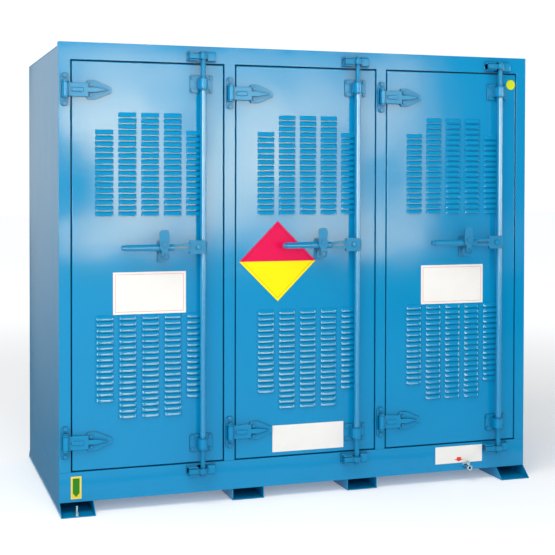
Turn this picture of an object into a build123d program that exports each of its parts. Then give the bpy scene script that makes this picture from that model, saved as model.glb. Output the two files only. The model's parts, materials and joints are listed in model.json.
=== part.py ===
from build123d import *
import os

os.makedirs("parts", exist_ok=True)

# Outdoor dangerous goods store: a steel cabinet with three louvred doors over a spill sump.
# X runs across the front, Y from the front to the back, Z up, and the origin is on the floor
# under the middle of the cabinet body. All lengths are in millimetres.

# Cabinet body
body_width = 2190.0
body_depth = 1040.0
body_height = 1926.0
foot_height = 50.0
sheet = 3.0
cut_overrun = 5.0

# Front frame and the rebate that the doors close into
jamb_width = 49.0
mullion_width = 47.0
sill_height = 126.0
head_height = 73.0
side_return = 165.0
roof_drop = 15.0
roof_lip = 40.0
stop_width = 18.0
panel_lap = 30.0
panel_flange = 25.0

# Door leaves
door_count = 3
door_thickness = 38.0
door_gap = 6.0
door_skin = 2.0
door_rear_flange = 22.0
seal_thickness = 6.0
seal_width = 14.0
seal_relief = 0.3
stiffener_height = 60.0
stiffener_depth = 20.0

# Louvres pressed in the door skins
louvre_width = 77.0
louvre_offset = 5.0
louvre_column_pitch = 98.0
louvre_row_pitch = 24.6
louvre_height = 19.5
louvre_rise = 8.0
louvre_skin = 1.5
louvre_full_rows = 18
louvre_short_rows = 15
louvre_columns = 5
louvre_group_gap = 418.0

# Strap hinges
hinge_axis_inset = 24.0
hinge_axis_rise = 20.0
hinge_end_distance = 126.0
bracket_width = 33.0
bracket_height = 138.0
bracket_thickness = 5.0
bracket_corner = 15.0
lug_thickness = 6.0
lug_gap = 60.0
knuckle_diameter = 25.0
knuckle_play = 0.5
pin_diameter = 12.0
pin_head_diameter = 18.0
pin_head_height = 4.0
press_clearance = 0.1
turning_clearance = 0.3
arm_height = 58.0
arm_thickness = 12.0
arm_relief = 6.0
arm_reach = 95.0
arm_rib_height = 16.0
arm_rib_rise = 4.0
arm_rib_start = 24.0
arm_rib_end = 76.0
blade_height = 79.0
blade_thickness = 9.0
blade_start = 89.0
blade_shoulder = 128.0
blade_reach = 196.0
blade_tip_height = 20.0
blade_neck_length = 6.0
rib_height = 20.0
rib_rise = 9.0
rib_reach = 178.0
blade_bolt_distance = 108.0
blade_bolt_spread = 44.0
bracket_bolt_spread = 117.0

# Fasteners, hexagon heads given across flats
small_bolt_diameter = 8.0
small_bolt_flats = 13.0
small_bolt_head = 5.0
small_nut_height = 6.0
small_bolt_spare = 3.0
bracket_bolt_diameter = 10.0
bracket_bolt_flats = 16.0
bracket_bolt_head = 6.0
bracket_bolt_length = 14.0
bolt_clearance = 0.2

# Lock bars with their cams, guides and keepers
bar_edge_distance = 99.0
bar_rise = 35.0
bar_diameter = 27.0
bar_wall = 3.0
shank_diameter = 22.0
spigot_length = 30.0
ring_diameter = 32.0
ring_height = 5.0
guide_distance = 90.0
guide_width = 100.0
guide_height = 75.0
guide_plate = 6.0
guide_corner = 6.0
guide_block_width = 38.0
guide_block_height = 45.0
guide_bolt_spread_x = 80.0
guide_bolt_spread_z = 54.0
keeper_distance = 27.0
keeper_width = 128.0
keeper_height = 45.0
keeper_plate = 5.0
keeper_prong = 6.0
keeper_prong_depth = 35.0
keeper_prong_length = 41.0
keeper_block_length = 40.0
keeper_block_height = 38.0
keeper_block_depth = 23.0
keeper_block_round = 5.0
bar_end_chamfer = 2.2
cam_diameter = 40.0
cam_height = 22.0
cam_reach = 61.0
cam_nose_thickness = 16.0
cam_side_clearance = 1.5
keeper_bar_clearance = 2.0
bar_end_length = 22.0

# Lift-and-turn handles
handle_height = 1115.0
pivot_distance = 27.0
pivot_diameter = 12.0
pivot_head_diameter = 20.0
pivot_head_height = 5.0
hub_height = 48.0
hub_length = 42.0
hub_back = 8.0
hub_front = 14.0
handle_head_length = 66.0
handle_head_height = 58.0
handle_head_thickness = 10.0
handle_head_overhang = 4.0
grip_diameter = 27.0
handle_reach = 355.0
handle_cap_length = 12.0
handle_cap_diameter = 22.0
grip_start = 135.0
collar_diameter = 29.0
collar_length = 94.0
shank_height = 34.0
shank_thickness = 20.0
groove_height = 10.0
groove_depth = 5.0

# Handle catches on the handles, and the padlock loops on the doors
catch_distance = 176.5
catch_width = 34.0
catch_top = 26.0
catch_bottom = 64.0
catch_plate = 5.0
ledge_thickness = 6.0
ledge_clearance = 1.0
loop_width = 50.0
loop_thickness = 6.0
loop_hole_width = 35.0
loop_hole_height = 30.0
loop_hole_corner = 13.0
loop_drop = 44.0
loop_corner = 21.5
tab_width = 24.0
tab_thickness = 6.0
tab_rise = 27.0
tab_drop = 10.0
tab_clearance = 1.5
catch_pivot_height = 13.0
catch_pivot_diameter = 10.0
catch_head_diameter = 20.0
catch_head_height = 3.0
catch_flap_width = 42.0
catch_flap_top = 76.0
catch_flap_bottom = 12.0
catch_flap_corner = 15.0
catch_flap_thickness = 5.0
catch_tongue_width = 26.0
catch_tongue_drop = 36.0
catch_tongue_corner = 10.0
catch_hole = 9.0
catch_hole_drop = 27.5
catch_bolt_height = 12.0
catch_bolt_drop = 36.0

# Feet
foot_width = 145.0
foot_plate = 4.0
foot_projection = 55.0
inner_foot_distance = 753.0

# Earth stud
stud_distance_x = 69.0
stud_distance_y = 30.0
stud_diameter = 10.0
stud_core_diameter = 8.5
stud_tip_chamfer = 1.0
stud_top = 42.0
stud_nut_flats = 17.0
stud_nut_height = 8.0
stud_washer_diameter = 21.0
stud_washer_thickness = 2.0

# Drain valve
valve_distance = 300.0
valve_height = 66.0
valve_diameter = 26.0
valve_length = 36.0
valve_bore = 12.0
valve_nipple_diameter = 20.0
valve_nipple_end = 8.0
valve_stem_diameter = 8.0
valve_stem_rise = 6.0
valve_lever_length = 44.0
valve_lever_overhang = 11.0
valve_lever_width = 12.0
valve_lever_thickness = 4.0
valve_lever_height = 9.0
valve_collar_diameter = 14.0

# Floor grates and shelving
post_width = 30.0
post_depth = 25.0
post_sheet = 2.0
bearer_leg = 25.0
bearer_sheet = 2.0
shelf_sheet = 2.0
shelf_lip = 20.0
shelf_side_clearance = 1.0
shelf_end_clearance = 3.0
shelf_level_shares = (1 / 3, 2 / 3)
slot_length = 60.0
slot_width = 20.0
slot_pitch_x = 90.0
slot_pitch_y = 58.0
slot_columns = 6
slot_rows = 14
grate_side_clearance = 2.0

# Sign plates
plate_thickness = 1.0
sign_width = 316.0
sign_height = 179.0
sign_offset = 336.0
sign_level = 921.0
placard_side = 250.0
placard_offset = 197.0
placard_level = 1044.0
capacity_width = 336.0
capacity_height = 118.0
capacity_offset = 342.0
capacity_level = 258.0
drain_label_width = 240.0
drain_label_height = 79.0
drain_label_distance = 340.0
drain_label_level = 125.0
earth_label_width = 45.0
earth_label_height = 95.0
earth_label_distance = 71.0
earth_label_level = 111.0
round_label_diameter = 46.0
round_label_edge = 24.5
round_label_drop = 53.0

# Places worked out from the sizes above
front_y = -body_depth / 2
back_y = body_depth / 2
left_x = -body_width / 2
right_x = body_width / 2
base_z = foot_height
sill_z = base_z + sill_height
top_z = base_z + body_height
head_z = top_z - head_height
roof_z = top_z - roof_drop
opening_height = head_z - sill_z
mid_z = (head_z + sill_z) / 2
opening_width = (
    body_width - 2 * jamb_width - (door_count - 1) * mullion_width
) / door_count
bay_pitch = opening_width + mullion_width
first_left = left_x + jamb_width
opening_centres = [first_left + opening_width / 2 + i * bay_pitch for i in range(door_count)]
mullion_centres = [first_left - mullion_width / 2 + i * bay_pitch for i in range(1, door_count)]
stop_depth = door_thickness + seal_thickness
return_depth = stop_depth + sheet
leaf_width = opening_width - 2 * door_gap
leaf_height = opening_height - 2 * door_gap
leaf_x = opening_centres[0]
hinge_xs = [centre - opening_width / 2 - hinge_axis_inset for centre in opening_centres]
hinge_zs = [sill_z + hinge_end_distance, head_z - hinge_end_distance]
hinge_y = front_y - hinge_axis_rise

# Planes parallel to the front face; an offset towards the viewer is positive
face_plane = Plane.XZ.offset(body_depth / 2)


def save(part, label):
    part.label = label
    export_step(part, f"parts/{label}.step")


def save_for_doors(master, name):
    for door in range(door_count):
        copy = master.moved(Location((door * bay_pitch, 0, 0)))
        save(copy, f"{name}_{door + 1}")


# Bund tray: an open sump with a flange round its top and a lip behind each door
with BuildPart() as bund_tray:
    with BuildSketch(Plane.XY.offset(base_z)):
        Rectangle(body_width, body_depth)
    extrude(amount=sill_height)
    with BuildSketch(Plane.XY.offset(base_z + sheet)):
        Rectangle(body_width - 2 * sheet, body_depth - 2 * sheet)
    extrude(amount=sill_height - 2 * sheet, mode=Mode.SUBTRACT)
    inner_depth = body_depth - return_depth - panel_flange
    inner_shift = (return_depth - panel_flange) / 2
    with BuildSketch(Plane.XY.offset(sill_z - sheet - cut_overrun)):
        with Locations((0, inner_shift)):
            Rectangle(body_width - 2 * panel_flange, inner_depth)
    extrude(amount=sheet + 2 * cut_overrun, mode=Mode.SUBTRACT)
    with BuildSketch(Plane.XY.offset(sill_z)):
        for centre in opening_centres:
            with Locations((centre, front_y + return_depth - sheet / 2)):
                Rectangle(opening_width - 2 * stop_width, sheet)
    extrude(amount=stop_width)
    with BuildSketch(face_plane.offset(cut_overrun)):
        with Locations((right_x - valve_distance, valve_height)):
            Circle(valve_nipple_diameter / 2 + bolt_clearance)
    extrude(amount=-(sheet + 2 * cut_overrun), mode=Mode.SUBTRACT)
save(bund_tray.part, "bund_tray")


# Front frame: face sheet, returns round each opening, stops for the seals, side and top returns
def opening_rectangles(margin, foot):
    height = opening_height + margin + foot
    for centre in opening_centres:
        with Locations((centre, sill_z - foot + height / 2)):
            Rectangle(opening_width + 2 * margin, height)


with BuildPart() as front_frame:
    frame_height = top_z - sill_z
    with BuildSketch(face_plane):
        with Locations((0, sill_z + frame_height / 2)):
            Rectangle(body_width, frame_height)
    extrude(amount=-sheet)
    with BuildSketch(face_plane.offset(-sheet)):
        opening_rectangles(sheet, 0)
    extrude(amount=-stop_depth)
    with BuildSketch(face_plane.offset(-stop_depth)):
        for centre in mullion_centres:
            with Locations((centre, sill_z + opening_height / 2)):
                Rectangle(mullion_width, opening_height)
    extrude(amount=-sheet)
    with BuildSketch(face_plane.offset(cut_overrun)):
        opening_rectangles(0, cut_overrun)
    extrude(amount=-(stop_depth + cut_overrun), mode=Mode.SUBTRACT)
    with BuildSketch(face_plane.offset(-stop_depth + cut_overrun)):
        opening_rectangles(-stop_width, cut_overrun + stop_width)
    extrude(amount=-(sheet + 2 * cut_overrun), mode=Mode.SUBTRACT)
    with BuildSketch(Plane.XY.offset(sill_z)):
        for side_x in (left_x + sheet / 2, right_x - sheet / 2):
            with Locations((side_x, front_y + side_return / 2)):
                Rectangle(sheet, side_return)
    extrude(amount=roof_z - sill_z)
    with BuildSketch(Plane.XY.offset(roof_z)):
        for side_x in (left_x + sheet / 2, right_x - sheet / 2):
            with Locations((side_x, front_y + roof_lip / 2)):
                Rectangle(sheet, roof_lip)
    extrude(amount=roof_drop)
    with BuildSketch(Plane.XY.offset(top_z - sheet)):
        with Locations((0, front_y + roof_lip / 2)):
            Rectangle(body_width, roof_lip)
    extrude(amount=sheet)
    with BuildSketch(Plane.XY.offset(roof_z - sheet)):
        with Locations((0, front_y + roof_lip - sheet / 2)):
            Rectangle(body_width - 2 * sheet, sheet)
    extrude(amount=roof_drop + sheet)
    with BuildSketch(Plane.XY.offset(roof_z - sheet)):
        with Locations((0, front_y + roof_lip + cut_overrun)):
            Rectangle(body_width + 2 * cut_overrun, 2 * cut_overrun)
        with Locations((0, front_y + (roof_lip + side_return) / 2 + cut_overrun)):
            Rectangle(body_width + 2 * cut_overrun, side_return - roof_lip)
    extrude(amount=sheet, mode=Mode.SUBTRACT)
    with BuildSketch(face_plane.offset(cut_overrun)):
        for hinge_x in hinge_xs:
            for hinge_z in hinge_zs:
                with Locations((hinge_x, hinge_z)):
                    with GridLocations(0, bracket_bolt_spread, 1, 2):
                        Circle(bracket_bolt_diameter / 2 + bolt_clearance)
    extrude(amount=-(sheet + 2 * cut_overrun), mode=Mode.SUBTRACT)
save(front_frame.part, "front_frame")


# Side panels, each with a tongue behind the frame's side return and flanges at top and back
def side_panel(side):
    outer_x = side * (body_width - sheet) / 2
    tongue_x = side * (body_width - 3 * sheet) / 2
    flange_x = side * (body_width - panel_flange) / 2
    panel_height = roof_z - sheet - sill_z
    seam_y = front_y + side_return
    with BuildPart() as panel:
        with BuildSketch(Plane.XY.offset(sill_z)):
            with Locations((outer_x, (seam_y + back_y) / 2)):
                Rectangle(sheet, back_y - seam_y)
            with Locations((tongue_x, seam_y)):
                Rectangle(sheet, 2 * panel_lap)
        extrude(amount=panel_height)
        with BuildSketch(Plane.XY.offset(roof_z - 2 * sheet)):
            with Locations((flange_x, (seam_y + back_y - sheet) / 2)):
                Rectangle(panel_flange, back_y - sheet - seam_y)
        extrude(amount=sheet)
        with BuildSketch(Plane.XY.offset(sill_z)):
            with Locations((flange_x, back_y - 3 * sheet / 2)):
                Rectangle(panel_flange, sheet)
        extrude(amount=panel_height)
    return panel.part


save(side_panel(-1), "side_panel_left")
save(side_panel(1), "side_panel_right")

# Back panel between the side panels
with BuildPart() as back_panel:
    with BuildSketch(Plane.XY.offset(sill_z)):
        with Locations((0, back_y - sheet / 2)):
            Rectangle(body_width - 2 * sheet, sheet)
    extrude(amount=roof_z - sheet - sill_z)
save(back_panel.part, "back_panel")

# Roof panel on the side flanges and the back panel, behind the frame's top lip
with BuildPart() as roof_panel:
    with BuildSketch(Plane.XY.offset(roof_z - sheet)):
        with Locations((0, (front_y + roof_lip + back_y) / 2)):
            Rectangle(body_width, body_depth - roof_lip)
    extrude(amount=sheet)
save(roof_panel.part, "roof_panel")


# Feet: upward-open channels under the tray, the outer ones with slanted ends
def foot(centre_x, projection):
    length = body_depth + 2 * projection
    with BuildPart() as channel:
        with BuildSketch(Plane.XZ.offset(length / 2)):
            with Locations((centre_x, foot_height / 2)):
                Rectangle(foot_width, foot_height)
            with Locations((centre_x, foot_plate + foot_height / 2)):
                Rectangle(foot_width - 2 * foot_plate, foot_height, mode=Mode.SUBTRACT)
        extrude(amount=-length)
        if projection > 0:
            reach = body_depth / 2 + projection
            with BuildSketch(Plane.YZ.offset(centre_x - foot_width)):
                for side in (-1, 1):
                    Polygon(
                        (side * body_depth / 2, foot_height),
                        (side * reach, foot_plate),
                        (side * (reach + cut_overrun), foot_plate),
                        (side * (reach + cut_overrun), foot_height + cut_overrun),
                        (side * body_depth / 2, foot_height + cut_overrun),
                    )
            extrude(amount=2 * foot_width, mode=Mode.SUBTRACT)
    return channel.part


outer_foot_x = (body_width - foot_width) / 2
inner_foot_x = body_width / 2 - inner_foot_distance - foot_width / 2
save(foot(-outer_foot_x, foot_projection), "foot_left")
save(foot(-inner_foot_x, 0), "foot_inner_left")
save(foot(inner_foot_x, 0), "foot_inner_right")
save(foot(outer_foot_x, foot_projection), "foot_right")


# A hexagon for nuts and bolt heads
def hexagon_across(flats):
    RegularPolygon(flats / 2, 6, major_radius=False)


# Earth stud on the floor of the left foot: relieved inside its nut and washer, full above them
stud_x = left_x + stud_distance_x
stud_y = front_y - stud_distance_y
stud_nut_top = foot_plate + stud_washer_thickness + stud_nut_height
with BuildPart() as stud_bolt:
    with BuildSketch(Plane.XY.offset(foot_plate)):
        with Locations((stud_x, stud_y)):
            Circle(stud_core_diameter / 2)
    extrude(amount=stud_nut_top - foot_plate)
    with BuildSketch(Plane.XY.offset(stud_nut_top)):
        with Locations((stud_x, stud_y)):
            Circle(stud_diameter / 2)
    extrude(amount=stud_top - stud_nut_top)
    chamfer(stud_bolt.edges().group_by(Axis.Z)[-1], stud_tip_chamfer)
with BuildPart() as stud_washer:
    with BuildSketch(Plane.XY.offset(foot_plate)):
        with Locations((stud_x, stud_y)):
            Circle(stud_washer_diameter / 2)
            Circle(stud_diameter / 2 + bolt_clearance, mode=Mode.SUBTRACT)
    extrude(amount=stud_washer_thickness)
with BuildPart() as stud_nut:
    with BuildSketch(Plane.XY.offset(foot_plate + stud_washer_thickness)):
        with Locations((stud_x, stud_y)):
            hexagon_across(stud_nut_flats)
            Circle(stud_diameter / 2 + bolt_clearance, mode=Mode.SUBTRACT)
    extrude(amount=stud_nut_height)
save(
    Compound(children=[stud_bolt.part, stud_washer.part, stud_nut.part]),
    "earth_stud",
)

# Drain valve: a nipple through the skirt, a round body with its outlet, and a stem
valve_x = right_x - valve_distance
with BuildPart() as drain_valve_body:
    with BuildSketch(face_plane):
        with Locations((valve_x, valve_height)):
            Circle(valve_diameter / 2)
    extrude(amount=valve_length)
    with BuildSketch(face_plane):
        with Locations((valve_x, valve_height)):
            Circle(valve_nipple_diameter / 2)
    extrude(amount=-(sheet + valve_nipple_end))
    with BuildSketch(Plane.XY.offset(valve_height)):
        with Locations((valve_x, front_y - valve_length / 2)):
            Circle(valve_stem_diameter / 2)
    extrude(amount=valve_diameter / 2 + valve_stem_rise + valve_lever_height)
    with BuildSketch(Plane.XY.offset(valve_height)):
        with Locations((valve_x, front_y - valve_length / 2)):
            Circle(valve_collar_diameter / 2)
    extrude(amount=valve_diameter / 2 + valve_stem_rise)
    with BuildSketch(face_plane.offset(valve_length + cut_overrun)):
        with Locations((valve_x, valve_height)):
            Circle(valve_bore / 2)
    extrude(
        amount=-(valve_length + sheet + valve_nipple_end + 2 * cut_overrun),
        mode=Mode.SUBTRACT,
    )
save(drain_valve_body.part, "drain_valve_body")

with BuildPart() as drain_valve_lever:
    lever_z = valve_height + valve_diameter / 2 + valve_stem_rise
    with BuildSketch(Plane.XY.offset(lever_z)):
        with Locations((valve_x, front_y - valve_length / 2)):
            Circle(valve_collar_diameter / 2)
    extrude(amount=valve_lever_height)
    with BuildSketch(Plane.XY.offset(lever_z)):
        with Locations((valve_x - valve_lever_overhang, front_y - valve_length / 2)):
            SlotOverall(valve_lever_length, valve_lever_width)
    extrude(amount=valve_lever_thickness)
    with BuildSketch(Plane.XY.offset(lever_z - cut_overrun)):
        with Locations((valve_x, front_y - valve_length / 2)):
            Circle(valve_stem_diameter / 2 + turning_clearance)
    extrude(amount=valve_lever_height + 2 * cut_overrun, mode=Mode.SUBTRACT)
save(drain_valve_lever.part, "drain_valve_lever")

# Shelf posts: channels at the side walls and behind the mullions, front and back
post_xs = [
    left_x + panel_flange + post_width / 2,
    *mullion_centres,
    right_x - panel_flange - post_width / 2,
]
front_post_y = front_y + return_depth + post_depth / 2
rear_post_y = back_y - panel_flange - post_depth / 2
with BuildPart() as shelf_posts:
    with BuildSketch(Plane.XY.offset(base_z + sheet)):
        for post_x in post_xs:
            for post_y, open_side in ((front_post_y, 1), (rear_post_y, -1)):
                with Locations((post_x, post_y)):
                    Rectangle(post_width, post_depth)
                with Locations((post_x, post_y + open_side * post_sheet)):
                    Rectangle(post_width - 2 * post_sheet, post_depth, mode=Mode.SUBTRACT)
    extrude(amount=roof_z - 2 * sheet - base_z)
save(shelf_posts.part, "shelf_posts")

# Bays between the posts, as left and right faces
bay_sides = [
    (post_xs[i] + post_width / 2, post_xs[i + 1] - post_width / 2)
    for i in range(door_count)
]
shelf_space = roof_z - sheet - sill_z
shelf_levels = [sill_z + share * shelf_space for share in shelf_level_shares]
post_span = rear_post_y - front_post_y + post_depth
post_mid_y = (front_post_y + rear_post_y) / 2

# Shelf bearers: angles from a front post to a rear post on each side of each bay
with BuildPart() as shelf_bearers:
    for level in shelf_levels:
        with BuildSketch(Plane.XZ.offset(-front_post_y + post_depth / 2)):
            for left_face, right_face in bay_sides:
                with Locations((left_face + bearer_sheet / 2, level + bearer_leg / 2)):
                    Rectangle(bearer_sheet, bearer_leg)
                with Locations((left_face + bearer_leg / 2, level + bearer_sheet / 2)):
                    Rectangle(bearer_leg, bearer_sheet)
                with Locations((right_face - bearer_sheet / 2, level + bearer_leg / 2)):
                    Rectangle(bearer_sheet, bearer_leg)
                with Locations((right_face - bearer_leg / 2, level + bearer_sheet / 2)):
                    Rectangle(bearer_leg, bearer_sheet)
        extrude(amount=-post_span)
save(shelf_bearers.part, "shelf_bearers")


# Perforated trays with walls along the front and the back: retaining lips that stand up on the
# shelves, and legs that go down to the sump's floor on the floor grates
def perforated_trays(top, wall_foot, wall_height, side_gap):
    with BuildPart() as trays:
        for left_face, right_face in bay_sides:
            middle = (left_face + right_face) / 2
            width = right_face - left_face - 2 * side_gap
            with BuildSketch(Plane.XY.offset(top - shelf_sheet)):
                with Locations((middle, post_mid_y)):
                    Rectangle(width, shelf_depth)
                with Locations((middle, post_mid_y)):
                    with GridLocations(slot_pitch_x, slot_pitch_y, slot_columns, slot_rows):
                        Rectangle(slot_length, slot_width, mode=Mode.SUBTRACT)
            extrude(amount=shelf_sheet)
            with BuildSketch(Plane.XY.offset(wall_foot)):
                for end in (-1, 1):
                    wall_y = post_mid_y + end * (shelf_depth - shelf_sheet) / 2
                    with Locations((middle, wall_y)):
                        Rectangle(width, shelf_sheet)
            extrude(amount=wall_height)
    return trays.part


shelf_depth = post_span - 2 * shelf_end_clearance
shelf_side_gap = bearer_sheet + shelf_side_clearance
for name, level in zip(("shelves_lower", "shelves_upper"), shelf_levels):
    shelf_seat = level + bearer_sheet
    trays = perforated_trays(shelf_seat + shelf_sheet, shelf_seat, shelf_lip, shelf_side_gap)
    save(trays, name)
sump_floor = base_z + sheet
grates = perforated_trays(sill_z, sump_floor, sill_z - sump_floor, grate_side_clearance)
save(grates, "floor_grates")

# Door seals: a ring on the stops of each opening
with BuildPart() as door_seals:
    seal_depth = seal_thickness - seal_relief
    with BuildSketch(face_plane.offset(-stop_depth)):
        for centre in opening_centres:
            with Locations((centre, mid_z)):
                Rectangle(opening_width, opening_height)
                Rectangle(
                    opening_width - 2 * seal_width,
                    opening_height - 2 * seal_width,
                    mode=Mode.SUBTRACT,
                )
    extrude(amount=seal_depth)
save(door_seals.part, "door_seals")

# Hinge brackets on the jamb and the mullions: base plate, two lugs and the pin's bores
with BuildPart() as hinge_brackets:
    for hinge_x in hinge_xs:
        for hinge_z in hinge_zs:
            with BuildSketch(face_plane):
                with Locations((hinge_x, hinge_z)):
                    RectangleRounded(bracket_width, bracket_height, bracket_corner)
                    with GridLocations(0, bracket_bolt_spread, 1, 2):
                        Circle(bracket_bolt_diameter / 2 + bolt_clearance, mode=Mode.SUBTRACT)
            extrude(amount=bracket_thickness)
            for lug_z in (hinge_z + lug_gap / 2, hinge_z - lug_gap / 2 - lug_thickness):
                with BuildSketch(Plane.XY.offset(lug_z)):
                    with Locations((hinge_x, (front_y + hinge_y) / 2)):
                        Rectangle(knuckle_diameter, hinge_axis_rise)
                    with Locations((hinge_x, hinge_y)):
                        Circle(knuckle_diameter / 2)
                        Circle(pin_diameter / 2 + press_clearance, mode=Mode.SUBTRACT)
                extrude(amount=lug_thickness)
save(hinge_brackets.part, "hinge_brackets")

# Hinge pins with a head above the upper lug
with BuildPart() as hinge_pins:
    for hinge_x in hinge_xs:
        for hinge_z in hinge_zs:
            with BuildSketch(Plane.XY.offset(hinge_z - lug_gap / 2 - lug_thickness)):
                with Locations((hinge_x, hinge_y)):
                    Circle(pin_diameter / 2)
            extrude(amount=lug_gap + 2 * lug_thickness)
            with BuildSketch(Plane.XY.offset(hinge_z + lug_gap / 2 + lug_thickness)):
                with Locations((hinge_x, hinge_y)):
                    Circle(pin_head_diameter / 2)
            extrude(amount=pin_head_height)
save(hinge_pins.part, "hinge_pins")


# A hexagon bolt whose head sits at a height above the front face and whose shank goes back
def bolt(x, z, seat, flats, head, diameter, length):
    with BuildSketch(face_plane.offset(seat)) as hexagon:
        with Locations((x, z)):
            hexagon_across(flats)
    extrude(hexagon.sketch, amount=head)
    with BuildSketch(face_plane.offset(seat)) as circle:
        with Locations((x, z)):
            Circle(diameter / 2)
    extrude(circle.sketch, amount=-length)


# Bracket bolts pass the face sheet
with BuildPart() as hinge_bracket_bolts:
    for hinge_x in hinge_xs:
        for hinge_z in hinge_zs:
            for side in (-1, 1):
                bolt(
                    hinge_x,
                    hinge_z + side * bracket_bolt_spread / 2,
                    bracket_thickness,
                    bracket_bolt_flats,
                    bracket_bolt_head,
                    bracket_bolt_diameter,
                    bracket_bolt_length,
                )
save(hinge_bracket_bolts.part, "hinge_bracket_bolts")

# Lock bar place and the keepers
bar_xs = [
    centre + opening_width / 2 - door_gap - bar_edge_distance for centre in opening_centres
]
bar_y = front_y - bar_rise
keeper_zs = [sill_z - keeper_distance, head_z + keeper_distance]
with BuildPart() as keepers:
    prong_gap = cam_height + 2 * cam_side_clearance
    prong_x = -cam_reach + keeper_prong_length / 2
    block_x = cam_diameter / 2 + keeper_bar_clearance + keeper_block_length / 2
    for bar_x in bar_xs:
        for keeper_z in keeper_zs:
            with BuildSketch(face_plane):
                with Locations((bar_x, keeper_z)):
                    RectangleRounded(keeper_width, keeper_height, guide_corner)
            extrude(amount=keeper_plate)
            with BuildSketch(face_plane.offset(keeper_plate)):
                for side in (-1, 1):
                    prong_z = keeper_z + side * (prong_gap + keeper_prong) / 2
                    with Locations((bar_x + prong_x, prong_z)):
                        Rectangle(keeper_prong_length, keeper_prong)
            extrude(amount=keeper_prong_depth)
            with BuildSketch(face_plane.offset(keeper_plate)):
                with Locations((bar_x + block_x, keeper_z)):
                    RectangleRounded(keeper_block_length, keeper_block_height, guide_corner)
            extrude(amount=keeper_block_depth - keeper_plate)
    block_front = front_y - keeper_block_depth
    block_faces = keepers.faces().filter_by(Axis.Y).filter_by_position(
        Axis.Y, block_front - press_clearance, block_front + press_clearance
    )
    fillet(block_faces.edges(), keeper_block_round)
save(keepers.part, "keepers")

# Places on the first door, from which the other doors' pieces are copied
hinge_x = hinge_xs[0]
bar_x = bar_xs[0]
guide_zs = [sill_z + guide_distance, head_z - guide_distance]
catch_x = bar_x - catch_distance
guide_bolt_points = [
    (bar_x + side_x * guide_bolt_spread_x / 2, guide_z + side_z * guide_bolt_spread_z / 2)
    for guide_z in guide_zs
    for side_x in (-1, 1)
    for side_z in (-1, 1)
]
blade_bolt_points = [
    (hinge_x + blade_bolt_distance, hinge_z + side * blade_bolt_spread / 2)
    for hinge_z in hinge_zs
    for side in (-1, 1)
]
catch_bolt_points = [
    (catch_x, handle_height + level) for level in (catch_bolt_height, -catch_bolt_drop)
]
door_bolts = [
    (guide_bolt_points, guide_plate),
    (blade_bolt_points, blade_thickness),
    (catch_bolt_points, catch_plate),
]


def bolt_holes(points, seat, depth):
    with BuildSketch(face_plane.offset(seat + cut_overrun)) as holes:
        with Locations(*points):
            Circle(small_bolt_diameter / 2 + bolt_clearance)
    extrude(holes.sketch, amount=-(seat + depth + 2 * cut_overrun), mode=Mode.SUBTRACT)


# Louvre rows, counted from the end of a group that lies nearer the door's middle
def louvre_bottoms(rows, side):
    start = mid_z + side * louvre_group_gap / 2
    first = start if side > 0 else start - louvre_height
    return [first + side * row * louvre_row_pitch for row in range(rows)]


# Corners of a hood or, parallel to its slope, of the hollow under it: rise and level of each
def louvre_profile(skin_cut):
    if skin_cut:
        hollow_rise = louvre_rise - louvre_skin
        hollow_height = (hollow_rise + door_skin) * louvre_height / louvre_rise
        return [(-door_skin, 0), (hollow_rise, 0), (-door_skin, hollow_height)]
    return [(0, 0), (louvre_rise, 0), (0, louvre_height)]


def louvre_column(column_x, rows, side, width, skin_cut):
    points = louvre_profile(skin_cut)
    with BuildSketch(Plane.YZ.offset(column_x - width / 2)) as profiles:
        for bottom in louvre_bottoms(rows, side):
            Polygon([(front_y - rise, bottom + level) for rise, level in points])
    mode = Mode.SUBTRACT if skin_cut else Mode.ADD
    extrude(profiles.sketch, amount=width, mode=mode)


# Door leaf: a folded pan with a rear flange, stiffeners, louvre hoods and their slits
with BuildPart() as door_leaf:
    with BuildSketch(face_plane):
        with Locations((leaf_x, mid_z)):
            Rectangle(leaf_width, leaf_height)
    extrude(amount=-door_thickness)
    with BuildSketch(face_plane.offset(-door_skin)):
        with Locations((leaf_x, mid_z)):
            Rectangle(leaf_width - 2 * door_skin, leaf_height - 2 * door_skin)
    extrude(amount=-(door_thickness - 2 * door_skin), mode=Mode.SUBTRACT)
    with BuildSketch(face_plane.offset(-door_skin)):
        with Locations((leaf_x, mid_z)):
            Rectangle(leaf_width - 2 * door_rear_flange, leaf_height - 2 * door_rear_flange)
    extrude(amount=-door_thickness, mode=Mode.SUBTRACT)
    with BuildSketch(face_plane.offset(-door_skin)):
        with Locations((leaf_x, mid_z)):
            Rectangle(leaf_width - door_skin, stiffener_height)
            Rectangle(
                leaf_width - door_skin,
                stiffener_height - 2 * door_skin,
                mode=Mode.SUBTRACT,
            )
    extrude(amount=-stiffener_depth)
    with BuildSketch(face_plane.offset(-stiffener_depth)):
        with Locations((leaf_x, mid_z)):
            Rectangle(leaf_width - door_skin, stiffener_height)
    extrude(amount=-door_skin)
    for skin_cut in (False, True):
        width = louvre_width - 2 * louvre_skin if skin_cut else louvre_width
        for column in range(louvre_columns):
            shift = louvre_offset + (column - (louvre_columns - 1) / 2) * louvre_column_pitch
            outer_column = column in (0, louvre_columns - 1)
            rows = louvre_short_rows if outer_column else louvre_full_rows
            for side in (-1, 1):
                louvre_column(leaf_x + shift, rows, side, width, skin_cut)
    for points, seat in door_bolts:
        bolt_holes(points, seat, door_skin)
save_for_doors(door_leaf.part, "door_leaf")

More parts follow.
